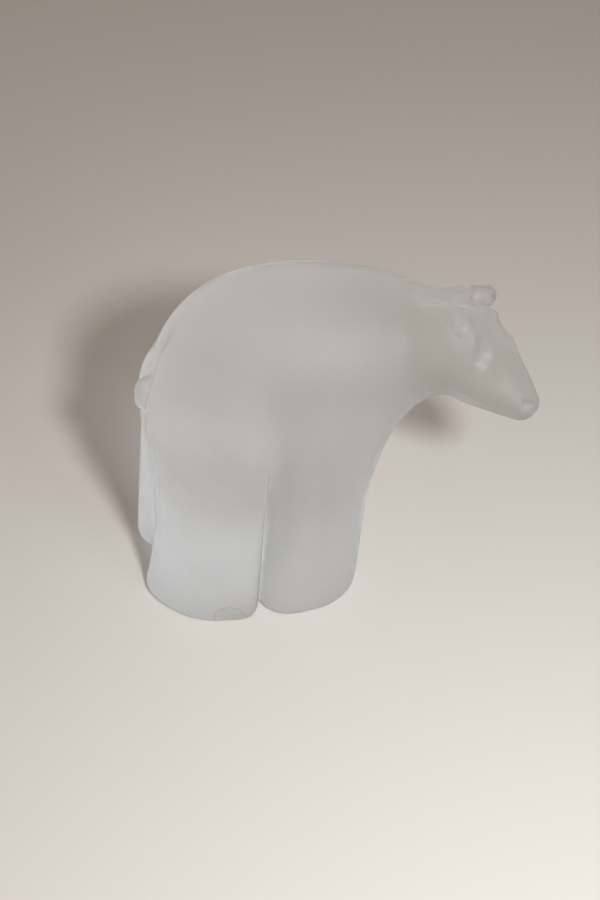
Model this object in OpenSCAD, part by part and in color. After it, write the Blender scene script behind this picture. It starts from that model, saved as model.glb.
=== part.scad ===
// Standing bear in solid satin glass: one heavy gather for the body, with two ears and a tail laid on hot.
// +X is the way the bear walks, +Y its left, +Z up. The origin is on the ground, in the middle of the figure.

/* [Trunk] */
// Height of the back above the ground
height = 83; // [65:1:105]
// Width across the widest feet
width = 53; // [44:1:70]
// Length over the feet, from the hind heels to the fore toes
stance_len = 55; // [46:1:70]
// How far the flanks stand inside the outer edge of the feet
flank_inset = 1; // [0:0.5:4]
// How far the rump stands in front of the hind heels
rump_inset = 2; // [0:0.5:5]
// How far the breast stands in front of the fore toes
breast_overhang = 7; // [2:0.5:10]

/* [Legs] */
// Rounding of the feet, seen from above
foot_round = 7.2; // [5:0.1:9]
// Rounding of the lower edge of the feet
sole_round = 1.2; // [0.4:0.2:3]
// Width of the open side of the grooves between the legs, at the ground
groove_w = 6; // [2:0.5:10]
// Depth of the grooves at the ground
groove_depth = 6; // [2:0.5:10]
// Height of the grooves at the flanks, between fore and hind legs
side_groove_h = 50; // [20:1:52]
// Height of the groove between the hind legs
rear_groove_h = 48; // [20:1:52]
// Height of the groove between the fore legs
front_groove_h = 34; // [15:1:44]
// How far the legs lean forward over the height of the side grooves
leg_lean = 4; // [0:0.5:6]

/* [Neck and head] */
// Radius of the neck behind the ears
neck_r = 12.6; // [9:0.1:15]
// How far the neck carries the skull in front of the fore toes
neck_reach = 22.5; // [18:0.5:30]
// How far the skull is carried to the bear's right
neck_swing = 11; // [0:0.5:16]
// How far the middle of the skull hangs below the top of the back
skull_drop = 13.5; // [6:0.5:26]
// Radius of the skull
skull_r = 11; // [8:0.1:13]
// Angle that the head is turned to the bear's right
head_turn = 37; // [0:1:45]
// Angle that the muzzle hangs below level
head_nod = 37; // [0:1:45]
// Distance from the middle of the skull to the middle of the nose
muzzle_len = 18.3; // [14:0.1:21]
// Radius of the nose
nose_r = 4.2; // [3:0.1:6]

/* [Ears and tail] */
// Radius of the tip of an ear
ear_r = 2.7; // [1.5:0.1:3.4]
// How far the ears stand out of the skull
ear_stand = 3.7; // [2:0.1:5]
// Angle between the crown of the skull and each ear
ear_splay = 28; // [20:1:40]
// Angle that the ears lie back
ear_back = 26; // [0:1:35]
// Radius of the lower end of the tail
tail_r = 2.6; // [1.8:0.1:4]
// Length of the tail
tail_len = 7; // [5:0.5:12]
// How far the tail stands out of the rump
tail_stand = 2.6; // [1:0.1:3]
// How far the tip of the tail hangs below the top of the back
tail_drop = 31; // [26:0.5:36]

/* [Hidden] */
$fn = 32;

GLASS = [0.80, 0.82, 0.83];
APPLIED_GLASS = [0.88, 0.91, 0.94];
// How far the hindquarters and the forequarters run past the waist into each other
LEG_OVERLAP = 1;

half_w = width / 2;
waist_x = stance_len / 2;
thigh_h = 0.55 * height;
outer_y = half_w - foot_round;
inner_y = foot_round;
hind_front_x = waist_x + LEG_OVERLAP - foot_round;
fore_rear_x = waist_x - LEG_OVERLAP + foot_round;
fore_front_x = stance_len - foot_round;

skull_at = [stance_len + neck_reach, -neck_swing, height - skull_drop];
nose_front = muzzle_len * cos(head_nod) * cos(head_turn) + nose_r;
overall_len = skull_at[0] + nose_front;

// Middle and radii of the three masses that the trunk is drawn over
haunch_r = [0.4 * stance_len, half_w - flank_inset, 0.31 * height];
haunch_at = [rump_inset + haunch_r[0], 0, thigh_h];
loin_r = [0.46 * stance_len, 0.95 * half_w, 0.32 * height];
loin_at = [0.57 * stance_len, 0, height - loin_r[2]];
shoulder_r = [0.32 * stance_len, half_w - 1.8 * flank_inset, 0.31 * height];
shoulder_at = [stance_len + breast_overhang - shoulder_r[0], 0, height - shoulder_r[2]];

// Middle and radius of the balls that the neck is drawn over, from the withers to behind the ears
withers_r = 0.23 * height;
withers_at = [0.95 * stance_len, 0, 0.985 * height - withers_r];
nape_at = [stance_len + 0.68 * neck_reach, -0.2 * neck_swing, skull_at[2] - 4];

// Distance from the hind heels to the face of the rump at height z
function rump_x(z) =
    haunch_at[0] - haunch_r[0] * sqrt(1 - pow((z - haunch_at[2]) / haunch_r[2], 2));

module ball(at, r) {
    translate(at) sphere(r = r);
}

module egg(at, radii) {
    translate(at) scale(radii) sphere(r = 1);
}

// One pair of legs up to height top, on rounded spots given as distance from the heels and from the middle
module legs(spots, top) {
    for (side = [-1, 1]) for (spot = spots) {
        translate([spot[0], side * spot[1], 0])
            cylinder(r1 = foot_round - 0.5 * sole_round, r2 = foot_round, h = sole_round);
        translate([spot[0] + leg_lean * top / side_groove_h, side * (spot[1] - flank_inset), top])
            cylinder(r = foot_round, h = 1);
    }
}

module hindquarters() {
    hull() {
        legs([
            [foot_round, inner_y + 0.5],
            [foot_round + 1.3, 0.5 * (inner_y + outer_y) + 1.4],
            [0.6 * (foot_round + hind_front_x), outer_y - 0.7],
            [hind_front_x, outer_y]
        ], 0.95 * side_groove_h);
        egg(haunch_at, haunch_r);
        egg(loin_at, loin_r);
    }
}

module forequarters() {
    hull() {
        legs([
            [fore_rear_x, outer_y],
            [0.5 * (fore_rear_x + fore_front_x), outer_y - 0.8],
            [fore_front_x - 1.3, 0.5 * (inner_y + outer_y) + 2],
            [fore_front_x, inner_y + 2.6]
        ], 0.95 * side_groove_h);
        egg(shoulder_at, shoulder_r);
    }
}

module belly() {
    hull() {
        egg(haunch_at, haunch_r);
        egg(loin_at, loin_r);
        egg(shoulder_at, shoulder_r);
        ball(withers_at, withers_r);
    }
}

module neck() {
    hull() {
        ball(withers_at, withers_r);
        ball(nape_at, neck_r);
    }
    hull() {
        ball(nape_at, neck_r);
        ball(skull_at, skull_r);
    }
}

// Carries its children from the skull's own axes to where the skull is, turned and nodding
module on_skull() {
    translate(skull_at) rotate([0, 0, -head_turn]) rotate([0, head_nod, 0]) children();
}

module skull() {
    on_skull() {
        hull() {
            ball([0, 0, 0], skull_r);
            ball([0.55 * muzzle_len, 0, -0.04 * skull_r], 0.65 * skull_r);
        }
        hull() {
            ball([0.55 * muzzle_len, 0, -0.04 * skull_r], 0.65 * skull_r);
            ball([muzzle_len, 0, 0], nose_r);
        }
    }
}

// A wedge for the groove between two legs: it opens towards -X at the origin and runs out at height top
module groove(top) {
    translate([0, 0, -1]) linear_extrude(height = top + 1, scale = 0)
        polygon([[-groove_depth, -groove_w], [groove_depth, 0], [-groove_depth, groove_w]]);
}

module body_mass() {
    hindquarters();
    forequarters();
    belly();
    neck();
    skull();
}

// One ear: a pinched nub of glass, trimmed to the head that it was laid on. Side is 1 on the left.
module ear(side) {
    root_r = 1.25 * ear_r;
    difference() {
        on_skull() rotate([-side * ear_splay, 0, 0]) rotate([0, -ear_back, 0]) hull() {
            ball([0, 0, skull_r - 0.6 * root_r], root_r);
            ball([0, 0, skull_r + ear_stand - ear_r], ear_r);
        }
        body_mass();
    }
}

module in_place() {
    translate([-overall_len / 2, 0, 0]) children();
}

module body() {
    color(GLASS) in_place() difference() {
        body_mass();
        groove(rear_groove_h);
        translate([stance_len, 0, 0]) rotate([0, 0, 180]) groove(front_groove_h);
        for (side = [-1, 1]) translate([waist_x, side * half_w, 0])
            rotate([0, atan(leg_lean / side_groove_h), 0])
                rotate([0, 0, -90 * side]) groove(side_groove_h);
    }
}

module ear_left() {
    color(APPLIED_GLASS) in_place() ear(1);
}

module ear_right() {
    color(APPLIED_GLASS) in_place() ear(-1);
}

module tail() {
    tip_z = height - tail_drop + 0.5 * tail_r;
    root_z = tip_z + 0.8 * tail_len;
    mid_z = 0.5 * (tip_z + root_z);
    balls = [
        [rump_x(tip_z) + tail_r - tail_stand, tip_z, tail_r],
        [rump_x(mid_z) + 0.8 * tail_r - 0.6 * tail_stand, mid_z, 0.8 * tail_r],
        [rump_x(root_z) + 0.55 * tail_r, root_z, 0.55 * tail_r]
    ];
    color(APPLIED_GLASS) in_place() difference() {
        for (i = [0:1]) hull() for (b = [balls[i], balls[i + 1]]) ball([b[0], 0, b[1]], b[2]);
        body_mass();
    }
}

body();
ear_left();
ear_right();
tail();
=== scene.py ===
"""Looks of the standing glass bear: one gather of satin-etched glass, with two ears and a tail laid on hot.

Shapes are distance fields in millimetres. A field gives, for each point, how far it is from the glass:
below zero inside, above zero outside. Masses melt into each other as soft glass does, shears and tools
carve them, and a skin of quads is drawn over the result. +X is the way the bear walks, +Y its left, +Z up,
and X is counted from the hind heels until the skin is placed in the row's frame.
"""

import logging
import math
from dataclasses import dataclass, field
from enum import Enum
from typing import Callable, Sequence

import bpy
import numpy as np
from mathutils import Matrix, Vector


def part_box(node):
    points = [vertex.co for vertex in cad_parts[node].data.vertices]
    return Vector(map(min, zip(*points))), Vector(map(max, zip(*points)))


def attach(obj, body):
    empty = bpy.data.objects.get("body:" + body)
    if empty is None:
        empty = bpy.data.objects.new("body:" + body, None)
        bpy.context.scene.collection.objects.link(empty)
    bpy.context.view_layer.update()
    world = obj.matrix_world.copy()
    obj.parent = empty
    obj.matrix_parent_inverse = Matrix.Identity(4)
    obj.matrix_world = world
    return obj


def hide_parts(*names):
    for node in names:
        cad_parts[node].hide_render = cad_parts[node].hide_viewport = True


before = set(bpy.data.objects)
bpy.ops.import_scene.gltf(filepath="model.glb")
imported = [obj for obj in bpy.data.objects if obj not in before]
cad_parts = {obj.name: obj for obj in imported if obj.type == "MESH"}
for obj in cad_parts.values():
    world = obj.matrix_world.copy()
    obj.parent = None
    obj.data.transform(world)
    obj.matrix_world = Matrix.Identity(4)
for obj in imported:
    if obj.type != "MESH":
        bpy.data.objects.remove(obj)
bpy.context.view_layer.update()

LOG = logging.getLogger("glass_bear")
MM = 0.001
LEAST = 1e-6
NOISE_MIDDLE = 0.5

Points = np.ndarray
Distances = np.ndarray
Spot = tuple[float, float, float]
Field = Callable[[Points], Distances]


# ---------------------------------------------------------------- glass as distance fields


def melt(a: Distances, b: Distances, width: float) -> Distances:
    """Joins two masses, with a fillet where they come within width of each other.

    Args:
        a: Distances to the first mass.
        b: Distances to the second mass.
        width: How far the fillet reaches.

    Returns:
        Distances to the joined mass.
    """
    closeness = np.maximum(width - np.abs(a - b), 0.0) / width
    return np.minimum(a, b) - closeness * closeness * width * 0.25


def carve(a: Distances, b: Distances, lip: float) -> Distances:
    """Takes the second mass out of the first.

    Args:
        a: Distances to the mass that is cut.
        b: Distances to the tool.
        lip: How far the rounding of the cut's edge reaches.

    Returns:
        Distances to what is left.
    """
    return -melt(-a, b, lip)


@dataclass(frozen=True)
class Egg:
    """An ellipsoid of glass."""

    centre: Spot
    radii: Spot

    def distance(self, points: Points) -> Distances:
        """Distances from points to the egg.

        Args:
            points: Where to measure.

        Returns:
            Distances, below zero inside.
        """
        radii = np.array(self.radii, np.float32)
        scaled = (points - np.array(self.centre, np.float32)) / radii
        level = np.sqrt((scaled * scaled).sum(-1))
        slope = np.sqrt(((scaled / radii) ** 2).sum(-1))
        return level * (level - 1.0) / np.maximum(slope, LEAST)


@dataclass(frozen=True)
class Bone:
    """Two balls and the tapered bar between them."""

    start: Spot
    end: Spot
    start_r: float
    end_r: float

    def distance(self, points: Points) -> Distances:
        """Distances from points to the bone.

        Args:
            points: Where to measure.

        Returns:
            Distances, below zero inside.
        """
        start = np.array(self.start, np.float32)
        axis = np.array(self.end, np.float32) - start
        square = float(axis @ axis)
        taper = self.start_r - self.end_r
        from_start = points - start
        along = from_start @ axis
        beyond = along - square
        off = ((from_start * square - along[..., None] * axis) ** 2).sum(-1)
        slant = square - taper * taper
        rim = np.sign(taper) * taper * taper * off
        bar = (np.sqrt(off * slant / square) + along * taper) / square - self.start_r
        near = np.sqrt(off + along * along * square) / square - self.start_r
        far = np.sqrt(off + beyond * beyond * square) / square - self.end_r
        before = np.sign(along) * slant * along * along * square < rim
        after = np.sign(beyond) * slant * beyond * beyond * square > rim
        return np.where(after, far, np.where(before, near, bar)).astype(np.float32)


class Side(Enum):
    """A side of the bear, with the sign of its Y."""

    LEFT = 1.0
    RIGHT = -1.0


@dataclass(frozen=True)
class Skull:
    """The skull's own axes, for all that sits on the head. Angles are in degrees."""

    centre: Spot = (76.3, -10.6, 69.3)
    turn: float = 37.0
    nod: float = 36.0

    def at(self, forward: float, left: float, up: float) -> Spot:
        """The point at these distances from the middle of the skull.

        Args:
            forward: Distance towards the nose.
            left: Distance towards the left ear.
            up: Distance towards the crown.

        Returns:
            The point, counted from the hind heels.
        """
        turn, nod = math.radians(self.turn), math.radians(self.nod)
        ahead = np.array([math.cos(nod) * math.cos(turn), -math.cos(nod) * math.sin(turn), -math.sin(nod)])
        aside = np.array([math.sin(turn), math.cos(turn), 0.0])
        point = np.array(self.centre) + ahead * forward + aside * left + np.cross(ahead, aside) * up
        return tuple(float(v) for v in point)

    def beside(self, side: Side, spot: Spot) -> Spot:
        """The point on one side of the head that a spot given for the left side stands for."""
        return self.at(spot[0], side.value * spot[1], spot[2])


# ---------------------------------------------------------------- the bear's masses


@dataclass(frozen=True)
class Trunk:
    """The trunk: a haunch, a loin and a shoulder, and the withers that run into the neck."""

    haunch: Egg = Egg((26.5, 0.0, 49.0), (19.2, 24.6, 22.7))
    loin: Egg = Egg((33.9, 0.0, 57.6), (27.3, 21.7, 26.8))
    shoulder: Egg = Egg((44.5, 0.0, 52.6), (16.3, 23.6, 28.1))
    withers: Bone = Bone((58.5, 0.0, 63.2), (69.8, -3.9, 65.9), 17.3, 11.3)
    fillet: float = 9.0
    neck_fillet: float = 10.0
    cleft: Bone = Bone((2.9, 0.9, 52.0), (9.8, 0.2, 76.0), 1.2, 0.6)
    cleft_lip: float = 5.0

    def distance(self, points: Points) -> Distances:
        """Distances from points to the trunk.

        Args:
            points: Where to measure.

        Returns:
            Distances, below zero inside.
        """
        mass = melt(self.haunch.distance(points), self.loin.distance(points), self.fillet)
        mass = melt(mass, self.shoulder.distance(points), self.fillet)
        return melt(mass, self.withers.distance(points), self.neck_fillet)


@dataclass(frozen=True)
class Post:
    """One round post of a leg: its place on the ground, how far it leans forward, and its thickness."""

    x: float
    y: float
    lean: float
    radius: float = 8.0
    knee_share: float = 0.95


@dataclass(frozen=True)
class Leg:
    """One pillar leg, drawn over round posts."""

    side: Side
    posts: tuple[Post, ...]
    heel: tuple[Bone, ...] = ()
    knee_h: float = 50.0
    knee_inset: float = 1.8
    fillet: float = 3.0

    def distance(self, points: Points) -> Distances:
        """Distances from points to the leg.

        Args:
            points: Where to measure.

        Returns:
            Distances, below zero inside.
        """
        folded = points * np.array([1, self.side.value, 1], np.float32)
        bones = list(self.heel)
        for post in self.posts:
            knee = (post.x + post.lean, post.y - self.knee_inset, self.knee_h)
            bones.append(Bone((post.x, post.y, 0.0), knee, post.radius, post.knee_share * post.radius))
        mass = bones[0].distance(folded)
        for bone in bones[1:]:
            mass = melt(mass, bone.distance(folded), self.fillet)
        return mass


FORE_POSTS = (
    Post(35.4, 18.5, 5.0), Post(41.3, 17.6, 4.6), Post(44.8, 14.8, 4.3),
    Post(46.6, 9.0, 4.2), Post(40.0, 10.0, 4.5))


@dataclass(frozen=True)
class Shear:
    """The line between fore and hind leg on each flank: a sharp step behind and a soft slope before it."""

    foot_x: float = 29.2
    foot_z: float = 14.0
    top_x: float = 31.0
    top_z: float = 54.0
    depth: float = 1.9
    sharp: float = 0.5
    soft: float = 2.4
    fade: float = 0.25
    flank_y: float = 14.0
    flank_blend: float = 4.0

    def press(self, points: Points) -> Distances:
        """How far the line is pressed into the glass at points.

        Args:
            points: Where to measure.

        Returns:
            Depths. They fade out over a share of the line at each end, and away from the flanks.
        """
        share = (points[..., 2] - self.foot_z) / (self.top_z - self.foot_z)
        off = points[..., 0] - self.foot_x - share * (self.top_x - self.foot_x)
        profile = np.exp(-(off / np.where(off < 0, self.sharp, self.soft)) ** 2)
        ends = np.clip(share / self.fade, 0.0, 1.0) * np.clip((1.0 - share) / self.fade, 0.0, 1.0)
        on_flank = np.clip((np.abs(points[..., 1]) - self.flank_y) / self.flank_blend, 0.0, 1.0)
        return (self.depth * profile * ends * on_flank).astype(np.float32)


@dataclass(frozen=True)
class Legs:
    """The four legs and the core that joins them. The right hind leg is slim over a heel that flares."""

    hind_left: Leg = Leg(Side.LEFT, (
        Post(6.9, 8.6, 4.4), Post(7.8, 13.0, 4.6), Post(14.9, 17.4, 4.4), Post(19.3, 18.3, 4.8),
        Post(23.2, 23.1, 5.0, 3.2), Post(18.2, 10.0, 4.8)))
    hind_right: Leg = Leg(Side.RIGHT, (
        Post(11.2, 8.6, 2.0), Post(11.3, 11.5, 2.1), Post(13.2, 14.6, 2.5), Post(15.2, 17.4, 2.6),
        Post(19.3, 18.3, 4.6), Post(23.2, 23.1, 5.0, 3.2), Post(18.2, 10.0, 4.6)),
        heel=(Bone((7.8, 10.6, 0.0), (10.8, 11.0, 13.0), 8.0, 7.6),
              Bone((11.2, 14.4, 0.0), (13.0, 14.6, 13.0), 8.2, 8.0)))
    fore_left: Leg = Leg(Side.LEFT, FORE_POSTS)
    fore_right: Leg = Leg(Side.RIGHT, FORE_POSTS)
    core: Leg = Leg(Side.LEFT, (
        Post(26.9, 11.8, 5.0), Post(26.9, -11.8, 5.0), Post(12.5, 0.0, 2.6), Post(26.9, 0.0, 5.0),
        Post(44.0, 0.0, 4.4)), knee_inset=0.0)
    crease: float = 1.2
    shear: Shear = Shear()
    parting: Bone = Bone((54.2, 0.0, -2.0), (59.0, 0.0, 36.0), 3.6, 1.0)
    parting_lip: float = 3.0

    def distance(self, points: Points) -> Distances:
        """Distances from points to the four legs and the core.

        Args:
            points: Where to measure.

        Returns:
            Distances, below zero inside.
        """
        mass = self.core.distance(points)
        for leg in (self.hind_left, self.hind_right, self.fore_left, self.fore_right):
            mass = melt(mass, leg.distance(points), self.crease)
        return mass


@dataclass(frozen=True)
class EarShape:
    """Where one ear is on the skull, from its inner to its outer end, and how thick it is there."""

    side: Side
    inner: Spot
    inner_r: float
    outer: Spot
    outer_r: float

    def nub(self, skull: Skull, share: float = 1.0) -> Bone:
        """The ear's nub of glass.

        Args:
            skull: The skull that it is on.
            share: Part of its full thickness.

        Returns:
            The nub, from its inner to its outer end.
        """
        ends = [skull.beside(self.side, spot) for spot in (self.inner, self.outer)]
        return Bone(*ends, share * self.inner_r, share * self.outer_r)


@dataclass(frozen=True)
class Head:
    """The head: crown and muzzle, with brows, eyes and nostrils that are the same on both sides.

    Spots are counted from the skull, and those of the crest, the trough and the nape from the hind heels.
    """

    skull: Skull = Skull()
    nape: Spot = (69.8, -3.9, 65.9)
    nape_r: float = 11.3
    crown: Spot = (-2.0, 0.0, 0.3)
    crown_r: float = 10.9
    cheek: Spot = (7.6, 0.8, -0.6)
    cheek_r: float = 9.1
    nose: Spot = (19.2, -0.2, 1.4)
    nose_r: float = 4.45
    fillet: float = 5.0
    brow: tuple[Spot, Spot] = ((-1.6, 4.7, 9.6), (0.8, 6.1, 8.2))
    brow_r: float = 0.8
    brow_thin: float = 0.7
    socket: Spot = (4.6, 6.5, 9.2)
    socket_r: float = 1.9
    eye: tuple[Spot, Spot] = ((6.9, 5.8, 5.7), (9.9, 5.3, 4.4))
    eye_r: float = 1.3
    eye_thin: float = 0.6
    nostril: tuple[Spot, Spot] = ((20.2, 3.4, 4.6), (22.0, 2.0, 5.4))
    nostril_r: float = 1.35
    nostril_thin: float = 0.6
    nostril_lip: float = 0.5
    crest: tuple[Spot, Spot] = ((66.0, -0.2, 78.2), (79.2, -7.2, 80.8))
    crest_r: float = 1.8
    crest_thin: float = 0.6
    crest_fillet: float = 2.0
    trough: tuple[Spot, Spot] = ((68.0, -5.6, 80.4), (78.5, -12.0, 81.6))
    trough_r: float = 1.6
    trough_thin: float = 0.6
    trough_lip: float = 2.0
    ears: tuple[EarShape, ...] = (
        EarShape(Side.LEFT, (-5.6, 3.2, 11.2), 2.5, (-4.1, 5.2, 11.4), 2.4),
        EarShape(Side.RIGHT, (-4.0, 4.4, 9.9), 1.8, (-3.1, 5.8, 9.3), 2.0),
    )
    mound_share: float = 0.65
    mound_fillet: float = 1.5
    detail_fillet: float = 1.8

    def masses(self, points: Points) -> Distances:
        """Distances from points to the crown and the muzzle.

        Args:
            points: Where to measure.

        Returns:
            Distances, below zero inside.
        """
        at = self.skull.at
        crown = Bone(self.nape, at(*self.crown), self.nape_r, self.crown_r)
        muzzle = Bone(at(*self.cheek), at(*self.nose), self.cheek_r, self.nose_r)
        return melt(crown.distance(points), muzzle.distance(points), self.fillet)

    def stroke(self, side: Side, ends: tuple[Spot, Spot], radius: float, thin: float) -> Bone:
        """One stroke of a tool on the face.

        Args:
            side: The side that it is on.
            ends: Where it starts and ends on the left side.
            radius: How thick it starts.
            thin: Part of that thickness at its end.

        Returns:
            The stroke.
        """
        start, end = (self.skull.beside(side, spot) for spot in ends)
        return Bone(start, end, radius, thin * radius)

    def face(self, mass: Distances, points: Points) -> Distances:
        """Works the face into the glass.

        Args:
            mass: Distances to the glass.
            points: Where they were measured.

        Returns:
            Distances to the glass with its face.
        """
        trough = Bone(*self.trough, self.trough_thin * self.trough_r, self.trough_r)
        mass = carve(mass, trough.distance(points), self.trough_lip)
        crest = Bone(*self.crest, self.crest_thin * self.crest_r, self.crest_r)
        mass = melt(mass, crest.distance(points), self.crest_fillet)
        for ear in self.ears:
            mass = melt(mass, ear.nub(self.skull, self.mound_share).distance(points), self.mound_fillet)
        for side in Side:
            socket = Egg(self.skull.beside(side, self.socket), (self.socket_r,) * 3)
            mass = carve(mass, socket.distance(points), self.detail_fillet)
            brow = self.stroke(side, self.brow, self.brow_r, self.brow_thin)
            mass = melt(mass, brow.distance(points), self.detail_fillet)
            eye = self.stroke(side, self.eye, self.eye_r, self.eye_thin)
            mass = melt(mass, eye.distance(points), self.detail_fillet)
            nostril = self.stroke(side, self.nostril, self.nostril_r, self.nostril_thin)
            mass = carve(mass, nostril.distance(points), self.nostril_lip)
        return mass


# ---------------------------------------------------------------- a skin over a field


@dataclass(frozen=True)
class Weave:
    """The planes of a grid along one axis: a start, then runs that each end somewhere with their own step."""

    start: float
    runs: tuple[tuple[float, float], ...]

    def planes(self) -> np.ndarray:
        """Lays out the planes.

        Returns:
            Their positions, in order.
        """
        found = [self.start]
        for end, step in self.runs:
            count = max(1, round((end - found[-1]) / step))
            found.extend(np.linspace(found[-1], end, count + 1)[1:])
        return np.array(found, np.float32)


@dataclass(frozen=True)
class Skin:
    """Draws quads over a field: one point for each grid cell that the surface crosses, drawn onto it.

    Slab is the number of planes measured at a time, probe half the span over which a slope is taken, and
    stride the longest step of a point. The square of a slope counts as at least least_square.
    """

    along: Weave
    across: Weave
    upright: Weave
    slab: int = 12
    passes: int = 4
    probe: float = 0.04
    stride: float = 0.25
    least_square: float = 0.2

    def sample(self, shape: Field, axes: Sequence[np.ndarray]) -> np.ndarray:
        """Measures a field at every crossing of the grid, a slab at a time to spare memory.

        Args:
            shape: The field.
            axes: Planes along X, Y and Z.

        Returns:
            Distances, in a block with one axis for each direction.
        """
        block = np.empty([len(axis) for axis in axes], np.float32)
        for first in range(0, len(axes[0]), self.slab):
            chosen = axes[0][first:first + self.slab]
            crossings = np.stack(np.meshgrid(chosen, *axes[1:], indexing="ij"), -1)
            block[first:first + self.slab] = shape(crossings)
        return block

    def settle(self, shape: Field, points: Points) -> Points:
        """Draws points onto the surface by a few steps along the field's slope.

        Args:
            shape: The field.
            points: Points near its surface.

        Returns:
            Points on its surface.
        """
        reach = np.float32(self.probe)
        for _ in range(self.passes):
            slope = np.stack([
                (shape(points + way * reach) - shape(points - way * reach)) / (2 * reach)
                for way in np.eye(3, dtype=np.float32)], -1)
            steep = np.maximum((slope * slope).sum(-1), self.least_square)
            step = np.clip(shape(points) / steep, -self.stride, self.stride)
            points = points - step[:, None] * slope
        return points

    def draw(self, shape: Field) -> tuple[Points, np.ndarray]:
        """Skins a field.

        Args:
            shape: The field.

        Returns:
            The points, and the quads as rows of four point numbers.
        """
        axes = [weave.planes() for weave in (self.along, self.across, self.upright)]
        block = self.sample(shape, axes)
        inside = block < 0
        cells = np.zeros([n - 1 for n in block.shape], np.int8)
        corners = [(i, j, k) for i in (0, 1) for j in (0, 1) for k in (0, 1)]
        for corner in corners:
            cells += inside[tuple(slice(c, n - 1 + c) for c, n in zip(corner, block.shape))]
        crossed = (cells > 0) & (cells < len(corners))
        homes = np.argwhere(crossed)
        number = np.full(crossed.shape, -1, np.int64)
        number[crossed] = np.arange(len(homes))
        total, count = np.zeros((len(homes), 3)), np.zeros(len(homes))
        for i, a in enumerate(corners):
            for b in corners[i + 1:]:
                if sum(abs(u - v) for u, v in zip(a, b)) != 1:
                    continue
                at_a, at_b = block[tuple((homes + a).T)], block[tuple((homes + b).T)]
                crosses = (at_a < 0) != (at_b < 0)
                share = np.where(crosses, at_a / np.where(crosses, at_a - at_b, 1.0), 0.0)
                spot = np.array(a) + share[:, None] * (np.array(b) - np.array(a))
                total[crosses] += spot[crosses]
                count[crosses] += 1
        local = total / count[:, None]
        points = np.stack([
            axis[homes[:, d]] + local[:, d] * (axis[homes[:, d] + 1] - axis[homes[:, d]])
            for d, axis in enumerate(axes)], -1).astype(np.float32)
        return self.settle(shape, points), self.quads(inside, number)

    @staticmethod
    def quads(inside: np.ndarray, number: np.ndarray) -> np.ndarray:
        """The quad around each grid edge that the surface crosses.

        Args:
            inside: Which crossings of the grid are inside.
            number: The number of the point in each cell.

        Returns:
            Rows of four point numbers, facing out.
        """
        found = []
        for d in range(3):
            u, v = (d + 1) % 3, (d + 2) % 3
            low = [slice(1, -1)] * 3
            high = [slice(1, -1)] * 3
            low[d], high[d] = slice(0, -1), slice(1, None)
            starts, ends = inside[tuple(low)], inside[tuple(high)]
            edges = np.argwhere(starts != ends)
            leaves = starts[tuple(edges.T)]
            offset = np.ones(3, int)
            offset[d] = 0
            edges = edges + offset
            ring = []
            for du, dv in ((1, 1), (0, 1), (0, 0), (1, 0)):
                cell = edges.copy()
                cell[:, u] -= du
                cell[:, v] -= dv
                ring.append(number[tuple(cell.T)])
            quad = np.stack(ring, -1)
            quad[~leaves] = quad[~leaves][:, ::-1]
            found.append(quad)
        return np.concatenate(found)


def make_piece(name: str, points: Points, quads: np.ndarray) -> bpy.types.Object:
    """Makes a smooth mesh object in the row's frame.

    Args:
        name: Name of the piece.
        points: Its points, in millimetres from the hind heels.
        quads: Its faces, as rows of four point numbers.

    Returns:
        The object.
    """
    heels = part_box("body")[0].x
    mesh = bpy.data.meshes.new(name)
    mesh.from_pydata((points * MM + np.array([heels, 0.0, 0.0])).tolist(), [], quads.tolist())
    mesh.validate()
    mesh.shade_smooth()
    piece = bpy.data.objects.new(name, mesh)
    bpy.context.scene.collection.objects.link(piece)
    LOG.info("%s: %d points, %d faces", name, len(mesh.vertices), len(mesh.polygons))
    return piece


# ---------------------------------------------------------------- the pieces


@dataclass
class Gather:
    """The body of the bear: one piece of glass."""

    trunk: Trunk = field(default_factory=Trunk)
    legs: Legs = field(default_factory=Legs)
    head: Head = field(default_factory=Head)
    thigh_fillet: float = 8.0
    throat_fillet: float = 5.0
    sole_lip: float = 1.6
    skin: Skin = Skin(
        Weave(-2.0, ((24.0, 0.8), (34.0, 0.35), (66.0, 0.8), (97.0, 0.5))),
        Weave(-29.0, ((-3.0, 0.7), (3.0, 0.45), (29.0, 0.7))),
        Weave(-1.5, ((2.5, 0.45), (50.0, 0.9), (87.0, 0.6))),
    )

    def mass(self, points: Points) -> Distances:
        """Distances from points to the bear before its cleft and its face are worked."""
        glass = melt(self.trunk.distance(points), self.head.masses(points), self.throat_fillet)
        return melt(glass, self.legs.distance(points), self.thigh_fillet)

    def distance(self, points: Points) -> Distances:
        """Distances from points to the finished body.

        Args:
            points: Where to measure.

        Returns:
            Distances, below zero inside.
        """
        glass = self.mass(points) + self.legs.shear.press(points)
        glass = carve(glass, self.legs.parting.distance(points), self.legs.parting_lip)
        glass = self.head.face(glass, points)
        glass = carve(glass, self.trunk.cleft.distance(points), self.trunk.cleft_lip)
        return carve(glass, points[..., 2], self.sole_lip)

    def build(self) -> bpy.types.Object:
        """Makes the body's mesh."""
        return make_piece("body_glass", *self.skin.draw(self.distance))


@dataclass(frozen=True)
class Seat:
    """How a piece that is laid on meets the body: cut to it, with the thinnest film of air between them."""

    film: float = 0.02
    lip: float = 0.05

    def trim(self, glass: Distances, body: Distances) -> Distances:
        """Cuts a laid-on piece to the body that it sits on."""
        return carve(glass, body - self.film, self.lip)


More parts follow.
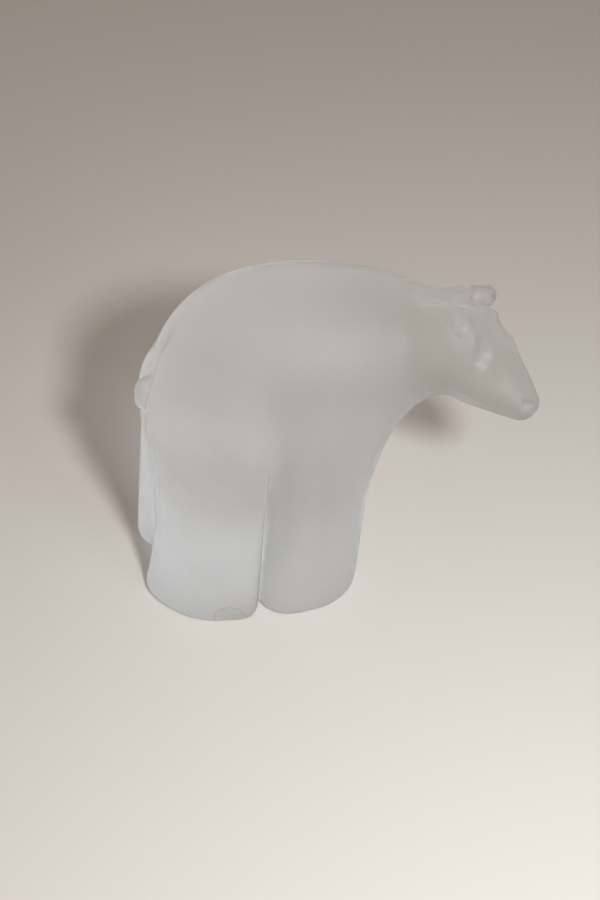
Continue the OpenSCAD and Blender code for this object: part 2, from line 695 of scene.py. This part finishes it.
@dataclass
class Ear:
    """One ear: a low pinched nub that caps the mound on the skull, with a shallow dish in front."""

    gather: Gather
    shape: EarShape
    dish: Spot = (-1.4, 3.3, 14.2)
    dish_r: float = 2.6
    dish_lip: float = 0.5
    reach: float = 8.0
    step: float = 0.22
    seat: Seat = field(default_factory=Seat)

    def distance(self, points: Points) -> Distances:
        """Distances from points to the ear.

        Args:
            points: Where to measure.

        Returns:
            Distances, below zero inside.
        """
        skull = self.gather.head.skull
        nub = self.shape.nub(skull).distance(points)
        dish = Egg(skull.beside(self.shape.side, self.dish), (self.dish_r,) * 3)
        nub = carve(nub, dish.distance(points), self.dish_lip)
        return self.seat.trim(nub, self.gather.distance(points))

    def build(self) -> bpy.types.Object:
        """Makes the ear's mesh.

        Returns:
            The object.
        """
        centre = self.shape.nub(self.gather.head.skull).end
        skin = Skin(*(Weave(c - self.reach, ((c + self.reach, self.step),)) for c in centre))
        return make_piece(f"ear_glass_{self.shape.side.name.lower()}", *skin.draw(self.distance))


@dataclass
class Tail:
    """The tail: a drop of glass laid on the rump, snipped off flat below."""

    gather: Gather
    root: Spot = (6.0, -1.2, 59.4)
    root_r: float = 1.4
    middle: Spot = (4.6, -1.5, 56.6)
    middle_r: float = 2.6
    tip: Spot = (4.4, -1.7, 54.2)
    tip_r: float = 3.0
    snip_z: float = 52.0
    snip_lip: float = 0.8
    fillet: float = 1.5
    skin: Skin = Skin(
        Weave(-3.0, ((10.0, 0.22),)),
        Weave(-7.0, ((4.0, 0.22),)),
        Weave(49.0, ((64.0, 0.22),)),
    )
    seat: Seat = field(default_factory=Seat)

    def distance(self, points: Points) -> Distances:
        """Distances from points to the tail.

        Args:
            points: Where to measure.

        Returns:
            Distances, below zero inside.
        """
        upper = Bone(self.root, self.middle, self.root_r, self.middle_r).distance(points)
        lower = Bone(self.middle, self.tip, self.middle_r, self.tip_r).distance(points)
        drop = carve(melt(upper, lower, self.fillet), points[..., 2] - self.snip_z, self.snip_lip)
        return self.seat.trim(drop, self.gather.distance(points))

    def build(self) -> bpy.types.Object:
        """Makes the tail's mesh."""
        return make_piece("tail_glass", *self.skin.draw(self.distance))


# ---------------------------------------------------------------- shader expressions


class Wire:
    """A node's output that works in Python expressions, each of which adds its Math nodes."""

    def __init__(self, graph: "Graph", socket: bpy.types.NodeSocket) -> None:
        """Wraps a socket of a graph."""
        self.graph = graph
        self.socket = socket

    def _math(self, operation: str, *values: "Wire | float") -> "Wire":
        """Adds one Math node."""
        return self.graph.node("ShaderNodeMath", {"operation": operation}, dict(enumerate(values)))["Value"]

    def __add__(self, other: "Wire | float") -> "Wire":
        """Sum."""
        return self._math("ADD", self, other)

    def __radd__(self, other: float) -> "Wire":
        """Sum, with the number first."""
        return self._math("ADD", other, self)

    def __sub__(self, other: "Wire | float") -> "Wire":
        """Difference."""
        return self._math("SUBTRACT", self, other)

    def __rsub__(self, other: float) -> "Wire":
        """Difference, with the number first."""
        return self._math("SUBTRACT", other, self)

    def __mul__(self, other: "Wire | float") -> "Wire":
        """Product."""
        return self._math("MULTIPLY", self, other)

    def __rmul__(self, other: float) -> "Wire":
        """Product, with the number first."""
        return self._math("MULTIPLY", other, self)

    def __abs__(self) -> "Wire":
        """Size without sign."""
        return self._math("ABSOLUTE", self)

    def step(self, low: float, high: float) -> "Wire":
        """A smooth step between two values.

        Args:
            low: The value where it is 0.
            high: The value where it is 1, which may be the lower of the two.

        Returns:
            The step.
        """
        settings = {"interpolation_type": "SMOOTHSTEP"}
        return self.graph.node("ShaderNodeMapRange", settings, {
            "Value": self, "From Min": low, "From Max": high, "To Min": 0.0, "To Max": 1.0})["Result"]


class Graph:
    """The node tree of one material."""

    def __init__(self, name: str) -> None:
        """Starts an empty material.

        Args:
            name: The material's name.
        """
        self.material = bpy.data.materials.new(name)
        self.material.use_nodes = True
        self.tree = self.material.node_tree
        self.tree.nodes.clear()

    def node(self, kind: str, settings: dict[str, object] | None = None,
             sockets: dict[str | int, object] | None = None) -> dict[str, Wire]:
        """Adds a node.

        Args:
            kind: The node's type.
            settings: Properties to set first.
            sockets: Values or wires, by the input's name or number.

        Returns:
            The node's enabled outputs, by name.
        """
        made = self.tree.nodes.new(kind)
        for key, value in (settings or {}).items():
            setattr(made, key, value)
        for key, value in (sockets or {}).items():
            target = made.inputs[key] if isinstance(key, int) else next(
                s for s in made.inputs if s.name == key and s.enabled)
            if isinstance(value, Wire):
                self.tree.links.new(value.socket, target)
            else:
                target.default_value = value
        return {s.name: Wire(self, s) for s in made.outputs if s.enabled}

    def mix(self, factor: Wire | float, a: Wire | Sequence[float], b: Wire | Sequence[float]) -> Wire:
        """Blends two colours."""
        return self.node("ShaderNodeMix", {"data_type": "RGBA"}, {"Factor": factor, "A": a, "B": b})["Result"]

    def place(self) -> Wire:
        """Positions on the piece, in metres."""
        return self.node("ShaderNodeTexCoord")["Object"]

    def noise(self, place: Wire, size: float, detail: float = 2.0, roughness: float = 0.5) -> Wire:
        """Noise with lumps of about this size in metres."""
        return self.node("ShaderNodeTexNoise", {"noise_dimensions": "3D"}, {
            "Vector": place, "Scale": 1.0 / size, "Detail": detail, "Roughness": roughness})["Fac"]


def rgba(red: float, green: float, blue: float) -> tuple[float, float, float, float]:
    """An opaque colour."""
    return (red, green, blue, 1.0)


# ---------------------------------------------------------------- finishes


class Mark(Enum):
    """The way a mark on the glass is drawn."""

    PATCH = "filled"
    ARC = "ring, lower half only"


@dataclass(frozen=True)
class Blemish:
    """A small mark on the glass. Lengths are in metres, in the row's frame, and the last four in radii."""

    mark: Mark
    centre: tuple[float, float, float]
    radius: float
    line: float
    tint: tuple[float, float, float]
    edge: tuple[float, float, float]
    edge_strength: float
    waver: float = 0.7
    filled: float = 0.6
    arc_from: float = -0.1
    arc_full: float = -0.5

    def over(self, graph: Graph, place: Wire, wobble: Wire, base: Wire) -> Wire:
        """Draws the mark over a colour.

        Args:
            graph: The material's graph.
            place: Positions on the piece.
            wobble: Noise that makes the outline irregular.
            base: The colour under the mark.

        Returns:
            The colour with the mark.
        """
        radius = self.radius
        away = graph.node(
            "ShaderNodeVectorMath", {"operation": "SUBTRACT"}, {0: place, 1: self.centre})["Vector"]
        length = graph.node("ShaderNodeVectorMath", {"operation": "LENGTH"}, {0: away})["Value"]
        reach = length + (wobble - NOISE_MIDDLE) * (self.waver * radius)
        outline = abs(reach - radius).step(self.line, 0.0)
        if self.mark is Mark.ARC:
            low = graph.node("ShaderNodeSeparateXYZ", None, {"Vector": away})["Z"]
            outline = outline * low.step(self.arc_from * radius, self.arc_full * radius)
        else:
            base = graph.mix(reach.step(radius, self.filled * radius), base, rgba(*self.tint))
        return graph.mix(outline * self.edge_strength, base, rgba(*self.edge))


@dataclass(frozen=True)
class SatinGlass:
    """Clear glass with an acid-etched skin. Lengths are in metres."""

    name: str = "satin_glass"
    clear: tuple[float, float, float] = (0.95, 0.975, 1.0)
    cloudy: tuple[float, float, float] = (0.94, 0.965, 0.985)
    # Painted light: a warmer tone painted in with height between the two heights below it. It stands in for
    # the warm room light and table seen through the upper glass, not for a colour of the glass.
    painted_top_tone: tuple[float, float, float] = (0.985, 0.98, 0.965)
    painted_top_from: float = 0.02
    painted_top_to: float = 0.075
    speck: float = 0.0011
    speck_from: float = 0.74
    speck_to: float = 0.8
    speck_tint: tuple[float, float, float] = (0.82, 0.82, 0.78)
    blemishes: tuple[Blemish, ...] = (
        Blemish(
            Mark.PATCH, (-0.0267, -0.0268, 0.0006), 0.0042, 0.0004,
            (0.86, 0.9, 0.8), (0.55, 0.57, 0.5), 0.7),
        Blemish(
            Mark.ARC, (-0.0068, -0.0268, 0.0542), 0.0042, 0.0003,
            (0.9, 0.9, 0.88), (0.66, 0.66, 0.62), 0.45),
    )
    wobble: float = 0.004
    ior: float = 1.5
    etch: float = 0.58
    etch_spread: float = 0.08
    clarity: float = 1.0
    scatter: float = 0.012
    grain: float = 0.00025
    grain_depth: float = 0.00001
    grain_spread: float = 0.06
    ripple: float = 0.012
    ripple_depth: float = 0.00008
    cloud_from: float = 0.35
    cloud_to: float = 0.65

    def material(self) -> bpy.types.Material:
        """Builds the material.

        Returns:
            The material.
        """
        graph = Graph(self.name)
        place = graph.place()
        cloud = graph.noise(place, self.ripple)
        fine = graph.noise(place, self.grain, detail=1.0)
        clouded = cloud.step(self.cloud_from, self.cloud_to)
        tint = graph.mix(clouded, rgba(*self.clear), rgba(*self.cloudy))
        height_up = graph.node("ShaderNodeSeparateXYZ", None, {"Vector": place})["Z"]
        # Painted light: the tint turns warmer with height, a painted tone for light seen through the top of
        # the bear.
        tint = graph.mix(height_up.step(self.painted_top_from, self.painted_top_to), tint, rgba(*self.painted_top_tone))
        specks = graph.noise(place, self.speck, detail=1.0)
        tint = graph.mix(specks.step(self.speck_from, self.speck_to), tint, rgba(*self.speck_tint))
        wobble = graph.noise(place, self.wobble)
        for blemish in self.blemishes:
            tint = blemish.over(graph, place, wobble, tint)
        rough = self.etch + (cloud - NOISE_MIDDLE) * self.etch_spread
        rough = rough + (fine - NOISE_MIDDLE) * self.grain_spread
        height = cloud * self.ripple_depth + fine * self.grain_depth
        bump = graph.node(
            "ShaderNodeBump", None, {"Strength": 1.0, "Distance": 1.0, "Height": height})["Normal"]
        shader = graph.node("ShaderNodeBsdfPrincipled", None, {
            "Base Color": tint,
            "Roughness": rough,
            "IOR": self.ior,
            "Transmission Weight": self.clarity,
            "Subsurface Weight": 1.0,
            "Subsurface Radius": (1.0, 1.0, 1.0),
            "Subsurface Scale": self.scatter,
            "Normal": bump,
        })["BSDF"]
        graph.node("ShaderNodeOutputMaterial", None, {"Surface": shader})
        return graph.material


@dataclass(frozen=True)
class PaleFloor:
    """A plain matt table top."""

    name: str = "pale_floor"
    colour: tuple[float, float, float] = (0.65, 0.61, 0.57)
    roughness: float = 0.55

    def material(self) -> bpy.types.Material:
        """Builds the material.

        Returns:
            The material.
        """
        graph = Graph(self.name)
        shader = graph.node("ShaderNodeBsdfPrincipled", None, {
            "Base Color": rgba(*self.colour), "Roughness": self.roughness})["BSDF"]
        graph.node("ShaderNodeOutputMaterial", None, {"Surface": shader})
        return graph.material


# ---------------------------------------------------------------- the studio


@dataclass(frozen=True)
class Lamp:
    """One soft light that faces the bear. Lengths are in metres, angles in degrees."""

    name: str
    azimuth: float
    elevation: float
    distance: float
    size: float
    watts: float
    colour: tuple[float, float, float]


@dataclass
class Studio:
    """Floor, lights and camera. Lengths are in metres, the lens in millimetres, angles in degrees."""

    aim: Vector = field(default_factory=lambda: Vector((0.0, 0.0, 0.045)))
    camera_at: tuple[float, float, float] = (-0.0421, -0.260, 0.268)
    camera_pitch: float = 48.0
    camera_yaw: float = -8.0
    lens: float = 56.5
    nearest: float = 0.01
    floor_half: float = 1.5
    lamps: tuple[Lamp, ...] = (
        Lamp("key_light", -79.0, 42.0, 0.36, 0.045, 1.22, (0.95, 0.98, 1.0)),
        Lamp("fill_light", -60.0, 75.0, 1.0, 0.8, 0.6, (0.93, 0.96, 1.0)),
        Lamp("cool_light", -58.0, 15.0, 0.6, 0.25, 0.9, (0.8, 0.9, 1.0)),
    )
    sky: tuple[float, float, float] = (1.0, 0.87, 0.77)
    sky_strength: float = 0.3
    sole_gap: float = 0.0002

    def build_floor(self) -> None:
        """Makes the floor."""
        half = self.floor_half
        mesh = bpy.data.meshes.new("studio_floor")
        ring = [(-half, -half), (half, -half), (half, half), (-half, half)]
        mesh.from_pydata([(x, y, -self.sole_gap) for x, y in ring], [], [(0, 1, 2, 3)])
        mesh.materials.append(PaleFloor().material())
        floor = bpy.data.objects.new("studio_floor", mesh)
        bpy.context.scene.collection.objects.link(floor)

    def build_lamps(self) -> None:
        """Makes the lights."""
        for lamp in self.lamps:
            data = bpy.data.lights.new(lamp.name, "AREA")
            data.shape = "DISK"
            data.size = lamp.size
            data.energy = lamp.watts
            data.color = lamp.colour
            light = bpy.data.objects.new(lamp.name, data)
            azimuth, elevation = math.radians(lamp.azimuth), math.radians(lamp.elevation)
            way = Vector((
                math.cos(elevation) * math.cos(azimuth), math.cos(elevation) * math.sin(azimuth),
                math.sin(elevation)))
            light.location = self.aim + way * lamp.distance
            light.rotation_euler = way.to_track_quat("Z", "Y").to_euler()
            bpy.context.scene.collection.objects.link(light)

    def build_sky(self) -> None:
        """Makes the even light of the room."""
        world = bpy.data.worlds.new("studio_sky")
        world.use_nodes = True
        background = world.node_tree.nodes["Background"]
        background.inputs["Color"].default_value = rgba(*self.sky)
        background.inputs["Strength"].default_value = self.sky_strength
        bpy.context.scene.world = world

    def build_camera(self) -> None:
        """Makes the camera."""
        data = bpy.data.cameras.new("camera")
        data.lens = self.lens
        data.clip_start = self.nearest
        camera = bpy.data.objects.new("camera", data)
        camera.location = self.camera_at
        camera.rotation_euler = (math.radians(self.camera_pitch), 0.0, math.radians(self.camera_yaw))
        bpy.context.scene.collection.objects.link(camera)
        bpy.context.scene.camera = camera

    def build(self) -> None:
        """Makes the whole studio."""
        self.build_floor()
        self.build_lamps()
        self.build_sky()
        self.build_camera()
        bpy.context.scene.view_settings.view_transform = "Standard"


# ---------------------------------------------------------------- main


def main() -> None:
    """Builds the bear and its studio."""
    logging.basicConfig(level=logging.INFO, format="%(name)s: %(message)s")
    Studio().build()
    gather = Gather()
    glass = SatinGlass().material()
    pieces = {
        "body": gather.build(),
        **{f"ear_{shape.side.name.lower()}": Ear(gather, shape).build() for shape in gather.head.ears},
        "tail": Tail(gather).build(),
    }
    for node, piece in pieces.items():
        piece.data.materials.append(glass)
        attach(piece, "root")
        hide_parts(node)


if __name__ == "__main__":
    main()
